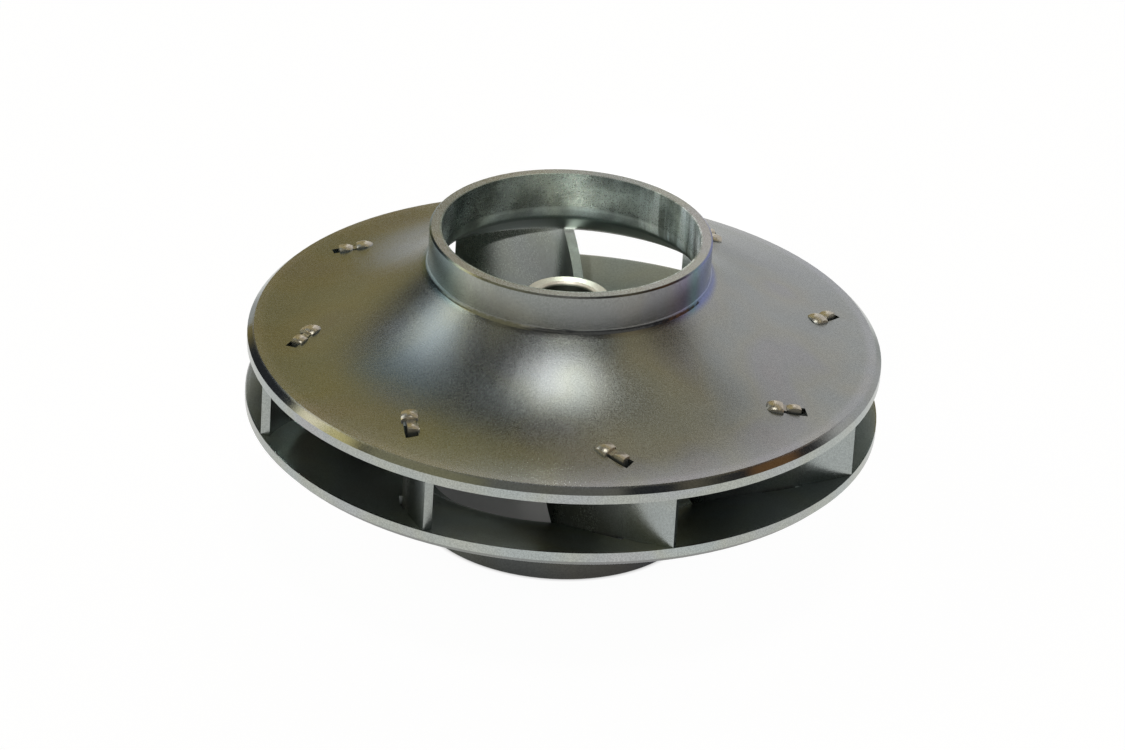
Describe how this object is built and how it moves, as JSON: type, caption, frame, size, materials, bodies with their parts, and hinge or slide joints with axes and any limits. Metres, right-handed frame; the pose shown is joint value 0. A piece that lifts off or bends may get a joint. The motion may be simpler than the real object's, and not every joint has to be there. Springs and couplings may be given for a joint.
{
  "type": "double-entry pump impeller",
  "caption": "Closed double-entry impeller: two dished steel shrouds with plain necks, backward-swept staked vanes between them and a bored hub sleeve on a centre disc.",
  "frame": {"origin": "on the shaft axis, in the plane of the rear neck's end face", "axes": "+Z along the shaft axis, from the rear eye to the front eye; the first vane's outer end lies 22.2 degrees from +X towards +Y"},
  "size_m": [0.15, 0.15, 0.075],
  "materials": {
    "zinc_sheet": "satin",
    "vane_sheet": "satin",
    "disc_sheet": "satin",
    "turned_steel": "satin"
  },
  "bodies": {
    "root": {"front_shroud": "zinc_sheet", "rear_shroud": "zinc_sheet", "centre_disc": "disc_sheet", "hub": "turned_steel", "vane_1": "vane_sheet", "vane_2": "vane_sheet", "vane_3": "vane_sheet", "vane_4": "vane_sheet", "vane_5": "vane_sheet", "vane_6": "vane_sheet", "vane_7": "vane_sheet", "vane_8": "vane_sheet"}
  },
  "joints": []
}
